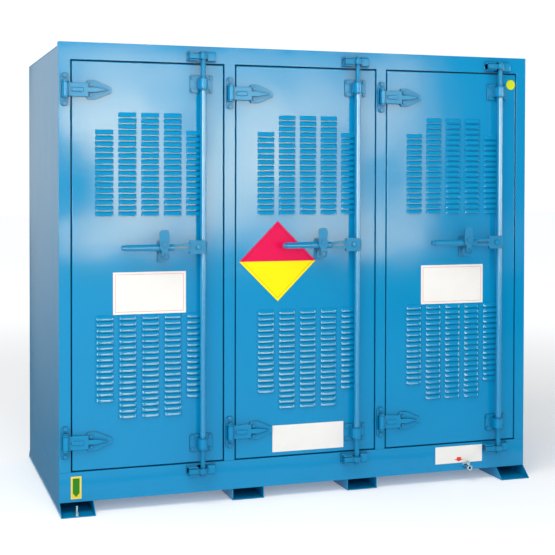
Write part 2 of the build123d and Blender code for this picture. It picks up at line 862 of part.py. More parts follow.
# Hinge blades: knuckle, arm over the gap, tapered leaf on the door and a raised rib
with BuildPart() as hinge_blades:
    for hinge_z in hinge_zs:
        knuckle_height = lug_gap - 2 * knuckle_play
        with BuildSketch(Plane.XY.offset(hinge_z - knuckle_height / 2)):
            with Locations((hinge_x, hinge_y)):
                Circle(knuckle_diameter / 2)
        extrude(amount=knuckle_height)
        with BuildSketch(face_plane.offset(arm_relief)):
            with Locations((hinge_x + arm_reach / 2, hinge_z)):
                Rectangle(arm_reach, arm_height)
        extrude(amount=arm_thickness)
        with BuildSketch(face_plane.offset(arm_relief + arm_thickness)):
            with Locations((hinge_x + (arm_rib_start + arm_rib_end) / 2, hinge_z)):
                SlotOverall(arm_rib_end - arm_rib_start, arm_rib_height)
        extrude(amount=arm_rib_rise)
        with BuildSketch(face_plane):
            Polygon(
                (hinge_x + blade_start, hinge_z - arm_height / 2),
                (hinge_x + blade_start + blade_neck_length, hinge_z - blade_height / 2),
                (hinge_x + blade_shoulder, hinge_z - blade_height / 2),
                (hinge_x + blade_reach, hinge_z - blade_tip_height / 2),
                (hinge_x + blade_reach, hinge_z + blade_tip_height / 2),
                (hinge_x + blade_shoulder, hinge_z + blade_height / 2),
                (hinge_x + blade_start + blade_neck_length, hinge_z + blade_height / 2),
                (hinge_x + blade_start, hinge_z + arm_height / 2),
            )
        extrude(amount=blade_thickness)
        with BuildSketch(face_plane.offset(blade_thickness)):
            Polygon(
                (hinge_x + blade_start, hinge_z - rib_height / 2),
                (hinge_x + blade_shoulder, hinge_z - rib_height / 2),
                (hinge_x + rib_reach, hinge_z),
                (hinge_x + blade_shoulder, hinge_z + rib_height / 2),
                (hinge_x + blade_start, hinge_z + rib_height / 2),
            )
        extrude(amount=rib_rise)
        with BuildSketch(Plane.XY.offset(hinge_z - knuckle_height / 2 - cut_overrun)):
            with Locations((hinge_x, hinge_y)):
                Circle(pin_diameter / 2 + turning_clearance)
        extrude(amount=knuckle_height + 2 * cut_overrun, mode=Mode.SUBTRACT)
    bolt_holes(blade_bolt_points, blade_thickness, 0)
save_for_doors(hinge_blades.part, "hinge_blades")

# Bolts and nuts that hold the blades, guides and catch to the leaf
bolt_groups = []
for points, seat in door_bolts:
    for bolt_x, bolt_z in points:
        with BuildPart() as door_bolt:
            shank = seat + door_skin + small_nut_height + small_bolt_spare
            bolt(
                bolt_x,
                bolt_z,
                seat,
                small_bolt_flats,
                small_bolt_head,
                small_bolt_diameter,
                shank,
            )
        with BuildPart() as door_nut:
            with BuildSketch(face_plane.offset(-door_skin)):
                with Locations((bolt_x, bolt_z)):
                    hexagon_across(small_bolt_flats)
                    Circle(small_bolt_diameter / 2 + bolt_clearance, mode=Mode.SUBTRACT)
            extrude(amount=-small_nut_height)
        bolt_groups += [door_bolt.part, door_nut.part]
for door in range(door_count):
    shift = Location((door * bay_pitch, 0, 0))
    save(
        Compound(children=[piece.moved(shift) for piece in bolt_groups]),
        f"door_bolts_{door + 1}",
    )

# Bar guides: a bolted plate and a bearing block round the bar
with BuildPart() as bar_guides:
    for guide_z in guide_zs:
        with BuildSketch(face_plane):
            with Locations((bar_x, guide_z)):
                RectangleRounded(guide_width, guide_height, guide_corner)
        extrude(amount=guide_plate)
        with BuildSketch(Plane.XY.offset(guide_z - guide_block_height / 2)):
            with Locations((bar_x, front_y - bar_rise / 2)):
                Rectangle(guide_block_width, bar_rise)
            with Locations((bar_x, bar_y)):
                Circle(guide_block_width / 2)
                Circle(shank_diameter / 2 + turning_clearance, mode=Mode.SUBTRACT)
        extrude(amount=guide_block_height)
    bolt_holes(guide_bolt_points, guide_plate, 0)
save_for_doors(bar_guides.part, "bar_guides")

# Lock bar tube between the guides
ring_clearance = turning_clearance
tube_margin = guide_block_height / 2 + ring_clearance + ring_height
tube_low = guide_zs[0] + tube_margin
tube_high = guide_zs[1] - tube_margin
with BuildPart() as lock_bar:
    with BuildSketch(Plane.XY.offset(tube_low)):
        with Locations((bar_x, bar_y)):
            Circle(bar_diameter / 2)
            Circle(bar_diameter / 2 - bar_wall, mode=Mode.SUBTRACT)
    extrude(amount=tube_high - tube_low)
save_for_doors(lock_bar.part, "lock_bar")


# Forged cam end: spigot in the tube, shank through the guide, stop rings and the cam
def cam_end(side):
    guide_z = guide_zs[1] if side > 0 else guide_zs[0]
    tube_end = tube_high if side > 0 else tube_low
    cam_z = keeper_zs[1] if side > 0 else keeper_zs[0]
    bar_end = cam_z + side * bar_end_length
    block_end = guide_z + side * (guide_block_height / 2 + ring_clearance)
    with BuildPart() as end:
        with BuildSketch(Plane.XY.offset(tube_end - side * spigot_length)):
            with Locations((bar_x, bar_y)):
                Circle(bar_diameter / 2 - bar_wall - press_clearance)
        extrude(amount=side * spigot_length)
        with BuildSketch(Plane.XY.offset(tube_end)):
            with Locations((bar_x, bar_y)):
                Circle(shank_diameter / 2)
        extrude(amount=bar_end - tube_end)
        for ring_z in (tube_end, block_end):
            with BuildSketch(Plane.XY.offset(ring_z)):
                with Locations((bar_x, bar_y)):
                    Circle(ring_diameter / 2)
            extrude(amount=side * ring_height)
        with BuildSketch(Plane.XY.offset(cam_z - cam_height / 2)):
            with Locations((bar_x, bar_y)):
                Circle(cam_diameter / 2)
            with Locations((bar_x - cam_reach / 2, bar_y)):
                Rectangle(cam_reach, cam_nose_thickness)
        extrude(amount=cam_height)
        chamfer(end.faces().sort_by(Axis.Z)[-1 if side > 0 else 0].edges(), bar_end_chamfer)
    return end.part


# Handle hub: a lug round the tube that carries the handle's pivot, flat where the handle lies
pivot_x = bar_x - pivot_distance
with BuildPart() as handle_hub:
    with BuildSketch(Plane.XY.offset(handle_height - hub_height / 2)):
        with Locations((bar_x - hub_length / 2, bar_y + (hub_back - hub_front) / 2)):
            Rectangle(hub_length, hub_back + hub_front)
        with Locations((bar_x, bar_y)):
            Circle(bar_diameter / 2 + hub_back / 2)
            Circle(bar_diameter / 2 + press_clearance, mode=Mode.SUBTRACT)
    extrude(amount=hub_height)
    with BuildSketch(face_plane.offset(bar_rise + hub_front)):
        with Locations((bar_x, handle_height)):
            Rectangle(cam_diameter, 2 * hub_height)
    extrude(amount=hub_front, mode=Mode.SUBTRACT)
    with BuildSketch(face_plane.offset(bar_rise + hub_front)):
        with Locations((pivot_x, handle_height)):
            Circle(pivot_diameter / 2 + press_clearance)
    extrude(amount=-(hub_back + hub_front), mode=Mode.SUBTRACT)
bar_fittings = [cam_end(-1), cam_end(1), handle_hub.part]
for door in range(door_count):
    shift = Location((door * bay_pitch, 0, 0))
    save(
        Compound(children=[piece.moved(shift) for piece in bar_fittings]),
        f"bar_fittings_{door + 1}",
    )

# Handle: flat head on the pivot, grooved shank, round grip with a collar and a cap, and a tab
# with the catch's pin
head_back = bar_rise + hub_front + ring_clearance
grip_rise = head_back + handle_head_thickness / 2
grip_y = front_y - grip_rise
ledge_top = handle_height - collar_diameter / 2 - ledge_clearance
loop_z = ledge_top - loop_drop / 2
loop_front = grip_rise + grip_diameter / 2 - tab_thickness
tab_front = loop_front + tab_clearance + tab_thickness
catch_pivot_z = handle_height + catch_pivot_height
flap_back = tab_front + turning_clearance
flap_front = flap_back + catch_flap_thickness
with BuildPart() as handle:
    with BuildSketch(face_plane.offset(head_back)):
        with Locations((bar_x + (handle_head_overhang - handle_head_length) / 2, handle_height)):
            RectangleRounded(handle_head_length + handle_head_overhang, handle_head_height, guide_corner)
    extrude(amount=handle_head_thickness)
    with BuildSketch(face_plane.offset(grip_rise - shank_thickness / 2)):
        Polygon(
            (bar_x - handle_head_length, handle_height - shank_height / 2),
            (bar_x - handle_head_length, handle_height + shank_height / 2),
            (bar_x - grip_start, handle_height + grip_diameter / 2),
            (bar_x - grip_start, handle_height - grip_diameter / 2),
        )
    extrude(amount=shank_thickness)
    with BuildSketch(face_plane.offset(grip_rise + shank_thickness / 2)):
        with Locations((bar_x - (handle_head_length + grip_start) / 2, handle_height)):
            SlotOverall(grip_start - handle_head_length - groove_height, groove_height)
    extrude(amount=-groove_depth, mode=Mode.SUBTRACT)
    with BuildSketch(Plane.YZ.offset(bar_x - handle_reach + handle_cap_length)):
        with Locations((grip_y, handle_height)):
            Circle(grip_diameter / 2)
    extrude(amount=handle_reach - handle_cap_length - grip_start)
    with BuildSketch(Plane.YZ.offset(bar_x - handle_reach)):
        with Locations((grip_y, handle_height)):
            Circle(handle_cap_diameter / 2)
    extrude(amount=handle_cap_length)
    with BuildSketch(Plane.YZ.offset(bar_x - grip_start - collar_length)):
        with Locations((grip_y, handle_height)):
            Circle(collar_diameter / 2)
    extrude(amount=collar_length)
    with BuildSketch(face_plane.offset(tab_front - tab_thickness)):
        with Locations((catch_x, handle_height + (tab_rise - tab_drop) / 2)):
            RectangleRounded(tab_width, tab_rise + tab_drop, guide_corner)
    extrude(amount=tab_thickness)
    with BuildSketch(face_plane.offset(tab_front)):
        with Locations((catch_x, catch_pivot_z)):
            Circle(catch_pivot_diameter / 2)
    extrude(amount=flap_front - tab_front + turning_clearance)
    with BuildSketch(face_plane.offset(flap_front + turning_clearance)):
        with Locations((catch_x, catch_pivot_z)):
            Circle(catch_head_diameter / 2)
    extrude(amount=catch_head_height)
    with BuildSketch(face_plane.offset(head_back - cut_overrun)):
        with Locations((pivot_x, handle_height)):
            Circle(pivot_diameter / 2 + turning_clearance)
    extrude(amount=handle_head_thickness + shank_thickness + cut_overrun, mode=Mode.SUBTRACT)
save_for_doors(handle.part, "handle")

# Handle pivot: a rivet fast in the hub with its head in front of the handle
with BuildPart() as handle_pivot:
    with BuildSketch(face_plane.offset(bar_rise - hub_back)):
        with Locations((pivot_x, handle_height)):
            Circle(pivot_diameter / 2)
    extrude(amount=head_back + handle_head_thickness + ring_clearance - bar_rise + hub_back)
    with BuildSketch(face_plane.offset(head_back + handle_head_thickness + ring_clearance)):
        with Locations((pivot_x, handle_height)):
            Circle(pivot_head_diameter / 2)
    extrude(amount=pivot_head_height)
    fillet(
        handle_pivot.faces().sort_by(Axis.Y)[0].edges(),
        pivot_head_height / 2,
    )
save_for_doors(handle_pivot.part, "handle_pivot")

# Catch base: plate on the door, ledge under the handle and the padlock loop
with BuildPart() as catch_base:
    with BuildSketch(face_plane):
        with Locations((catch_x, handle_height + (catch_top - catch_bottom) / 2)):
            RectangleRounded(catch_width, catch_top + catch_bottom, guide_corner)
    extrude(amount=catch_plate)
    with BuildSketch(face_plane):
        with Locations((catch_x, ledge_top - ledge_thickness / 2)):
            Rectangle(catch_width, ledge_thickness)
    extrude(amount=loop_front)
    with BuildSketch(face_plane.offset(loop_front - loop_thickness)):
        with Locations((catch_x, loop_z)):
            RectangleRounded(loop_width, loop_drop, loop_corner)
            RectangleRounded(
                loop_hole_width,
                loop_hole_height,
                loop_hole_corner,
                mode=Mode.SUBTRACT,
            )
    extrude(amount=loop_thickness)
    bolt_holes(catch_bolt_points, catch_plate, 0)
save_for_doors(catch_base.part, "catch_base")

# Catch: a flap on the handle's pin, whose tongue hangs in front of the padlock loop
with BuildPart() as catch_flap:
    with BuildSketch(face_plane.offset(flap_back)):
        with Locations((catch_x, handle_height + (catch_flap_top - catch_flap_bottom) / 2)):
            RectangleRounded(
                catch_flap_width,
                catch_flap_top + catch_flap_bottom,
                catch_flap_corner,
            )
        with Locations((catch_x, handle_height - (catch_tongue_drop - catch_flap_bottom) / 2)):
            RectangleRounded(
                catch_tongue_width,
                catch_tongue_drop + catch_flap_bottom,
                catch_tongue_corner,
            )
        with Locations((catch_x, catch_pivot_z)):
            Circle(catch_pivot_diameter / 2 + turning_clearance, mode=Mode.SUBTRACT)
        with Locations((catch_x, handle_height - catch_hole_drop)):
            Circle(catch_hole / 2, mode=Mode.SUBTRACT)
    extrude(amount=catch_flap_thickness)
save_for_doors(catch_flap.part, "catch_flap")


# Sign plates: thin flat plates on the doors and the skirt
def flat_plate(centre_x, centre_z, width, height):
    with BuildPart() as plate:
        with BuildSketch(face_plane):
            with Locations((centre_x, centre_z)):
                Rectangle(width, height)
        extrude(amount=plate_thickness)
    return plate.part


opening_lefts = [centre - opening_width / 2 for centre in opening_centres]
save(
    flat_plate(opening_lefts[0] + sign_offset, sign_level, sign_width, sign_height),
    "sign_plate_left",
)
save(
    flat_plate(opening_lefts[-1] + sign_offset, sign_level, sign_width, sign_height),
    "sign_plate_right",
)
save(
    flat_plate(
        opening_lefts[1] + capacity_offset,
        capacity_level,
        capacity_width,
        capacity_height,
    ),
    "capacity_plate",
)
save(
    flat_plate(
        right_x - drain_label_distance,
        drain_label_level,
        drain_label_width,
        drain_label_height,
    ),
    "drain_plate",
)
save(
    flat_plate(
        left_x + earth_label_distance,
        earth_label_level,
        earth_label_width,
        earth_label_height,
    ),
    "earth_label",
)

with BuildPart() as hazard_placard:
    with BuildSketch(face_plane):
        with Locations((opening_lefts[1] + placard_offset, placard_level)):
            Rectangle(placard_side, placard_side, rotation=45)
    extrude(amount=plate_thickness)
save(hazard_placard.part, "hazard_placard")

with BuildPart() as round_label:
    with BuildSketch(face_plane):
        label_x = opening_lefts[-1] + opening_width - door_gap - round_label_edge
        with Locations((label_x, head_z - round_label_drop)):
            Circle(round_label_diameter / 2)
    extrude(amount=plate_thickness)
save(round_label.part, "round_label")
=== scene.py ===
import json
import math

import bmesh
import bpy
from mathutils import Matrix, Vector


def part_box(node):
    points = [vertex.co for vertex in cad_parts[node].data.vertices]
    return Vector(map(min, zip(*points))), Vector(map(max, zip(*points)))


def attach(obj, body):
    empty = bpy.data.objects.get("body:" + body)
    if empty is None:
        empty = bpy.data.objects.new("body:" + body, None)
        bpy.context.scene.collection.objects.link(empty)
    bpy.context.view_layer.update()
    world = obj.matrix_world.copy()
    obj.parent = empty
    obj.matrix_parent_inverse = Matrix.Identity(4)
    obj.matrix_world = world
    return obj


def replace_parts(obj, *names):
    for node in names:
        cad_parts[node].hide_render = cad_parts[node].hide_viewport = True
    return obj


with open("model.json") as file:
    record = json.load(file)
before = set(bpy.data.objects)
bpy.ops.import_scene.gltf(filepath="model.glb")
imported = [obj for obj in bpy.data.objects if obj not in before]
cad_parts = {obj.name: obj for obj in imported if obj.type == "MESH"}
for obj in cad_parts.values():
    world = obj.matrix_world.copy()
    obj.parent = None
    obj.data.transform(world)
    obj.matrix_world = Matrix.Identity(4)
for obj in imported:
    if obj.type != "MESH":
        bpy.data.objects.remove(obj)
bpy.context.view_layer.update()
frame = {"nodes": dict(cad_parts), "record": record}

nodes = frame["nodes"]
record = frame["record"]
bodyOf = {name: body for body, names in record["behaviour"]["bodies"].items() for name in names}
slotOf = {part["node"]: part["material_slot"] for part in record["subparts"]}
doors = (1, 2, 3)
close = 0.00001  # metres between points that count as level
merged = 0.00002  # metres between points that are made one
smoothAngle = 35  # degrees, below which an edge is shaded smooth
print("packed frame loaded with", len(nodes), "nodes")

# the enamel on all the steel that shows: colours are linear, sizes in metres
enamel = {
    "colour": (0.001, 0.262, 0.525, 1),
    "shade": (0.001, 0.232, 0.485, 1),
    "shadeSize": 0.35,
    "shadeDetail": 3.0,
    "roughness": 0.35,
    "waveDetail": 1.5,
    "peelSize": 0.006,
    "peelDetail": 1.0,
    "peelHeight": 0.00003,
    # the last three set the painted shade in corners and seams: its colour, how steeply it falls off, and
    # its sample count
    "deep": (0.0005, 0.045, 0.11, 1),
    "deepening": 1.3,
    "cornerSamples": 8,
}
# how it lies on each kind of piece; reach is how far the painted shade, the dark of a corner, spreads
# tone dims the enamel for each kind of piece, a painted shade: handles, catches and grips darker than the
# panels for how the light falls on them
films = {
    "panelPaint": {
        "tone": 0.98, "gloss": 1.0, "glossIor": 1.36, "glossRoughness": 0.10,
        "waveSize": 0.32, "waveHeight": 0.0022, "reach": 0.006,
    },
    "fittingPaint": {
        "tone": 0.92, "gloss": 1.0, "glossIor": 1.30, "glossRoughness": 0.20,
        "waveSize": 0.03, "waveHeight": 0.0004, "reach": 0.016,
    },
    "handledPaint": {
        "tone": 0.80, "gloss": 1.0, "glossIor": 1.25, "glossRoughness": 0.30,
        "waveSize": 0.02, "waveHeight": 0.0005, "reach": 0.025,
    },
    "gripPaint": {
        "tone": 0.85, "gloss": 1.0, "glossIor": 1.48, "glossRoughness": 0.18,
        "waveSize": 0.05, "waveHeight": 0.0003, "reach": 0.020,
    },
    "tubePaint": {
        "tone": 0.92, "gloss": 1.0, "glossIor": 1.58, "glossRoughness": 0.22,
        "waveSize": 0.20, "waveHeight": 0.0002, "reach": 0.010,
    },
    "roofPaint": {
        "tone": 0.98, "gloss": 0.12, "glossIor": 1.36, "glossRoughness": 0.30,
        "waveSize": 0.32, "waveHeight": 0.0022, "reach": 0.006,
    },
}


def startMaterial(name):
    material = bpy.data.materials.new(name)
    material.use_nodes = True
    return material, material.node_tree, material.node_tree.nodes["Principled BSDF"]


def patches(tree, size, detail=2.0, kind="ShaderNodeTexNoise"):
    # a pattern on the piece's own metres, with features of the given size
    place = tree.nodes.new("ShaderNodeTexCoord")
    pattern = tree.nodes.new(kind)
    pattern.inputs["Scale"].default_value = 1 / size
    if kind == "ShaderNodeTexNoise":
        pattern.inputs["Detail"].default_value = detail
    tree.links.new(place.outputs["Object"], pattern.inputs["Vector"])
    return pattern


def twoTone(tree, factor, first, second):
    mix = tree.nodes.new("ShaderNodeMix")
    mix.data_type = "RGBA"
    mix.inputs["A"].default_value = first
    mix.inputs["B"].default_value = second
    tree.links.new(factor, mix.inputs["Factor"])
    return mix.outputs["Result"]


def relief(tree, height, distance, under=None):
    bump = tree.nodes.new("ShaderNodeBump")
    bump.inputs["Strength"].default_value = 1.0
    bump.inputs["Distance"].default_value = distance
    tree.links.new(height, bump.inputs["Height"])
    if under is not None:
        tree.links.new(under, bump.inputs["Normal"])
    return bump.outputs["Normal"]


def linkedMath(tree, operation, *values):
    node = tree.nodes.new("ShaderNodeMath")
    node.operation = operation
    for socket, value in zip(node.inputs, values):
        if isinstance(value, (int, float)):
            socket.default_value = value
        else:
            tree.links.new(value, socket)
    return node.outputs[0]


def dimmed(colour, share):
    return tuple(channel * share for channel in colour[:3]) + (1,)


def paintedCornerShade(tree, colour, reach):
    # painted shade: darker where other surfaces stand close, as in a seam or under a fitting
    near = tree.nodes.new("ShaderNodeAmbientOcclusion")
    near.samples = enamel["cornerSamples"]
    near.inputs["Distance"].default_value = reach
    mix = tree.nodes.new("ShaderNodeMix")
    mix.data_type = "RGBA"
    mix.inputs["A"].default_value = enamel["deep"]
    openness = linkedMath(tree, "POWER", near.outputs["AO"], enamel["deepening"])
    tree.links.new(openness, mix.inputs["Factor"])
    tree.links.new(colour, mix.inputs["B"])
    return mix.outputs["Result"]


def makeEnamel(name, film):
    material, tree, shader = startMaterial(name)
    shade = patches(tree, enamel["shadeSize"], enamel["shadeDetail"])
    # painted shade: the film's tone dims both colours for its kind of piece
    first, second = (dimmed(enamel[key], film["tone"]) for key in ("colour", "shade"))
    tone = twoTone(tree, shade.outputs["Fac"], first, second)
    # painted shade in corners and seams darkens the base colour
    tree.links.new(paintedCornerShade(tree, tone, film["reach"]), shader.inputs["Base Color"])
    shader.inputs["Roughness"].default_value = enamel["roughness"]
    shader.inputs["Specular IOR Level"].default_value = 0.0
    shader.inputs["Coat Weight"].default_value = film["gloss"]
    shader.inputs["Coat Roughness"].default_value = film["glossRoughness"]
    shader.inputs["Coat IOR"].default_value = film["glossIor"]
    waves = patches(tree, film["waveSize"], enamel["waveDetail"])
    surface = relief(tree, waves.outputs["Fac"], film["waveHeight"])
    peel = patches(tree, enamel["peelSize"], enamel["peelDetail"])
    surface = relief(tree, peel.outputs["Fac"], enamel["peelHeight"], surface)
    tree.links.new(surface, shader.inputs["Normal"])
    tree.links.new(surface, shader.inputs["Coat Normal"])
    return material


paint = {name: makeEnamel(name, film) for name, film in films.items()}

metals = {
    "zincSheet": {
        "light": (0.62, 0.64, 0.64, 1),
        "dark": (0.42, 0.44, 0.45, 1),
        "spangle": 0.012,
        "roughness": 0.42,
        "grainSize": 0.002,
        "grainHeight": 0.00002,
    },
    "platedSteel": {
        "light": (0.40, 0.58, 0.68, 1),
        "dark": (0.22, 0.36, 0.45, 1),
        "spangle": 0.004,
        "roughness": 0.35,
        "grainSize": 0.001,
        "grainHeight": 0.00001,
    },
}


def grained(tree, shader, look):
    grain = patches(tree, look["grainSize"])
    tree.links.new(relief(tree, grain.outputs["Fac"], look["grainHeight"]), shader.inputs["Normal"])


def makeMetal(name, look):
    material, tree, shader = startMaterial(name)
    spangle = patches(tree, look["spangle"], kind="ShaderNodeTexVoronoi")
    tone = twoTone(tree, spangle.outputs["Distance"], look["light"], look["dark"])
    tree.links.new(tone, shader.inputs["Base Color"])
    shader.inputs["Metallic"].default_value = 1.0
    shader.inputs["Roughness"].default_value = look["roughness"]
    grained(tree, shader, look)
    return material


metal = {name: makeMetal(name, look) for name, look in metals.items()}

rubber = {
    "colour": (0.004, 0.024, 0.055, 1),
    "roughness": 0.75,
    "grainSize": 0.0015,
    "grainHeight": 0.00006,
}


def makeRubber(name):
    material, tree, shader = startMaterial(name)
    shader.inputs["Base Color"].default_value = rubber["colour"]
    shader.inputs["Roughness"].default_value = rubber["roughness"]
    grained(tree, shader, rubber)
    return material


sealRubber = makeRubber("sealRubber")

# print on the plates and labels
printed = {
    "fade": 0.94,
    "fadeSize": 0.05,
    "fadeDetail": 3.0,
    "roughness": 0.32,
    "sheen": 0.05,
    "grainSize": 0.003,
    "grainHeight": 0.00001,
}
inks = {
    "whiteInk": (0.81, 0.80, 0.77, 1),
    "lineInk": (0.76, 0.33, 0.30, 1),
    "arrowInk": (0.78, 0.05, 0.04, 1),
    "crimsonInk": (0.70, 0.001, 0.080, 1),
    "crimsonLineInk": (0.38, 0.001, 0.060, 1),
    "yellowInk": (0.90, 0.76, 0.003, 1),
    "yellowLineInk": (0.52, 0.42, 0.01, 1),
    "labelYellowInk": (0.78, 0.58, 0.04, 1),
    "labelPaleInk": (0.72, 0.78, 0.35, 1),
    "labelGreenInk": (0.03, 0.22, 0.02, 1),
    "spotInk": (0.60, 0.72, 0.02, 1),
}


def makeInk(name, colour):
    material, tree, shader = startMaterial(name)
    fading = patches(tree, printed["fadeSize"], printed["fadeDetail"])
    tone = twoTone(tree, fading.outputs["Fac"], colour, dimmed(colour, printed["fade"]))
    tree.links.new(tone, shader.inputs["Base Color"])
    shader.inputs["Roughness"].default_value = printed["roughness"]
    shader.inputs["Specular IOR Level"].default_value = printed["sheen"]
    grained(tree, shader, printed)
    return material


ink = {name: makeInk(name, colour) for name, colour in inks.items()}
finishOf = {
    "cabinet_paint": paint["panelPaint"],
    "hardware_paint": paint["fittingPaint"],
    "inner_steel": metal["zincSheet"],
    "stud_steel": metal["platedSteel"],
    "valve_metal": metal["platedSteel"],
    "seal_rubber": sealRubber,
    "white_plate": ink["whiteInk"],
    "placard_plate": ink["crimsonInk"],
    "earth_plate": ink["labelYellowInk"],
    "round_plate": ink["spotInk"],
}
print("paints and finishes mixed")


def meshFrom(bm, name):
    mesh = bpy.data.meshes.new(name)
    bm.to_mesh(mesh)
    bm.free()
    return mesh


def addObject(name, data):
    thing = bpy.data.objects.new(name, data)
    bpy.context.scene.collection.objects.link(thing)
    return thing


def finishPiece(bm, name, node, materials, smoothBelow=smoothAngle):
    # one object at the origin, on the body of the node that it stands for
    limit = math.radians(smoothBelow)
    for face in bm.faces:
        face.smooth = True
    for edge in bm.edges:
        edge.smooth = len(edge.link_faces) == 2 and edge.calc_face_angle(0) < limit
    mesh = meshFrom(bm, name)
    for material in materials:
        mesh.materials.append(material)
    piece = addObject(name, mesh)
    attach(piece, bodyOf[node])
    return piece


def turnVerts(bm, verts, degrees, axis):
    matrix = Matrix.Rotation(math.radians(degrees), 3, axis)
    bmesh.ops.rotate(bm, verts=verts, cent=(0, 0, 0), matrix=matrix)


def vertsOf(geometry):
    return [part for part in geometry if isinstance(part, bmesh.types.BMVert)]


def edgesOf(geometry):
    return [part for part in geometry if isinstance(part, bmesh.types.BMEdge)]


def liesAt(edge, axis, value):
    return all(abs(vert.co[axis] - value) < close for vert in edge.verts)


def block(size, centre):
    bm = bmesh.new()
    bmesh.ops.create_cube(bm, size=1)
    bmesh.ops.scale(bm, verts=bm.verts, vec=size)
    bmesh.ops.translate(bm, verts=bm.verts, vec=centre)
    return bm


def perDoor(*parts):
    return [f"{part}_{door}" for door in doors for part in parts]


# pieces whose CAD shape is right and gets rolled or forged edges: radius in metres
edges = {
    "sheet": {
        "radius": 0.0013,
        "segments": 3,
        "nodes": [
            "bund_tray", "front_frame", "side_panel_left", "side_panel_right", "back_panel",
            "foot_left", "foot_inner_left", "foot_inner_right", "foot_right",
        ],
    },
    "roof": {
        "radius": 0.0013,
        "segments": 3,
        "paint": "roofPaint",
        "nodes": ["roof_panel"],
    },
    "forged": {
        "radius": 0.0018,
        "segments": 3,
        "nodes": ["hinge_brackets", "keepers"] + perDoor("hinge_blades", "bar_guides"),
    },
    "tube": {
        "radius": 0.0009,
        "segments": 2,
        "clamp": True,
        "paint": "tubePaint",
        "nodes": perDoor("lock_bar"),
    },
    "handled": {
        "radius": 0.0009,
        "segments": 2,
        "clamp": True,
        "paint": "handledPaint",
        "mirrored": False,
        "nodes": perDoor("bar_fittings", "catch_base", "catch_flap"),
    },
    "grip": {
        "radius": 0.0009,
        "segments": 2,
        "clamp": True,
        "paint": "gripPaint",
        # painted shade: the handle's front flats take the darker, less glossy paint
        "frontFlatShadePaint": "handledPaint",
        "flatHeight": 0.010,
        "flatFacing": 0.95,
        "mirrored": False,
        "nodes": perDoor("handle"),
    },
    "fastener": {
        "radius": 0.0007,
        "segments": 2,
        "nodes": [
            "hinge_pins", "hinge_bracket_bolts", "earth_stud", "drain_valve_body", "drain_valve_lever",
        ] + perDoor("door_bolts", "handle_pivot"),
    },
}
rolling = {"flatAngle": 1, "sharpAngle": 40}  # degrees


def shadeFrontFlats(bm, kind):
    # broad faces that look to the front take the second paint, darker and less glossy than the grip's: a
    # painted shade on the handle's front flats
    for face in bm.faces:
        heights = [vert.co.z for vert in face.verts]
        if face.normal.y < -kind["flatFacing"] and max(heights) - min(heights) > kind["flatHeight"]:
            face.material_index = 1


def softenedCopy(node, kind):
    bm = bmesh.new()
    bm.from_mesh(nodes[node].data)
    bmesh.ops.remove_doubles(bm, verts=bm.verts, dist=merged)
    bmesh.ops.dissolve_limit(
        bm, angle_limit=math.radians(rolling["flatAngle"]), use_dissolve_boundaries=False,
        verts=bm.verts, edges=bm.edges,
    )
    materials = [paint[kind["paint"]] if "paint" in kind else finishOf[slotOf[node]]]
    if "frontFlatShadePaint" in kind:
        materials.append(paint[kind["frontFlatShadePaint"]])
        shadeFrontFlats(bm, kind)
    first, *others = node.split("_")
    name = first + "".join(word.capitalize() for word in others) + "Soft"
    piece = finishPiece(bm, name, node, materials)
    piece.visible_glossy = kind.get("mirrored", True)
    rolled = piece.modifiers.new("rolledEdges", "BEVEL")
    rolled.width = kind["radius"]
    rolled.segments = kind["segments"]
    rolled.limit_method = "ANGLE"
    rolled.angle_limit = math.radians(rolling["sharpAngle"])
    rolled.use_clamp_overlap = kind.get("clamp", False)
    rolled.harden_normals = True
    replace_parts(piece, node)


for kind in edges.values():
    for node in kind["nodes"]:
        softenedCopy(node, kind)
print("edges rolled on panels and fittings")

# door leaves: a folded pan with pressed louvres, sizes in metres and angles in degrees
leaf = {
    "sheet": 0.0014,
    "front": -0.520,
    "depth": 0.038,
    "flange": 0.022,
    "fold": 0.003,
    "foldSegments": 3,
    "foldAngle": 60,
    "smoothBelow": 50,
}
louvre = {
    "width": 0.077,
    "height": 0.0195,
    "rise": 0.0078,
    "columns": 5,
    "columnPitch": 0.098,
    "rowPitch": 0.0246,
    "fullRows": 18,
    "shortRows": 15,
    "groupGap": 0.418,
    "offset": 0.005,
    "endRadius": 0.009,
    "across": 8,
    "down": 4,
    "endEase": 1.8,
    "lipEase": 1.4,
    "crownEase": 0.7,
}
cutDigits = 6  # decimals of a metre that tell two cuts apart
cornerDigits = 4  # decimals that tell two louvres' corners apart


def louvrePlaces(centre):
    # lower left corner of each louvre, in x and z
    places = []
    for column in range(louvre["columns"]):
        shift = louvre["offset"] + (column - (louvre["columns"] - 1) / 2) * louvre["columnPitch"]
        left = centre.x + shift - louvre["width"] / 2
        outer = column in (0, louvre["columns"] - 1)
        for row in range(louvre["shortRows"] if outer else louvre["fullRows"]):
            away = louvre["groupGap"] / 2 + row * louvre["rowPitch"]
            places.append((left, centre.z + away))
            places.append((left, centre.z - away - louvre["height"]))
    return places


def frontSheet(bm, low, high, y):
    made = bmesh.ops.create_grid(bm, x_segments=1, y_segments=1, size=0.5)["verts"]
    turnVerts(bm, made, 90, "X")
    bmesh.ops.scale(bm, verts=made, vec=(high[0] - low[0], 1, high[1] - low[1]))
    bmesh.ops.translate(bm, verts=made, vec=((low[0] + high[0]) / 2, y, (low[1] + high[1]) / 2))


def cutAcross(bm, axis, value):
    point, normal = Vector((0, 0, 0)), Vector((0, 0, 0))
    point[axis], normal[axis] = value, 1
    everything = bm.verts[:] + bm.edges[:] + bm.faces[:]
    bmesh.ops.bisect_plane(bm, geom=everything, plane_co=point, plane_no=normal)


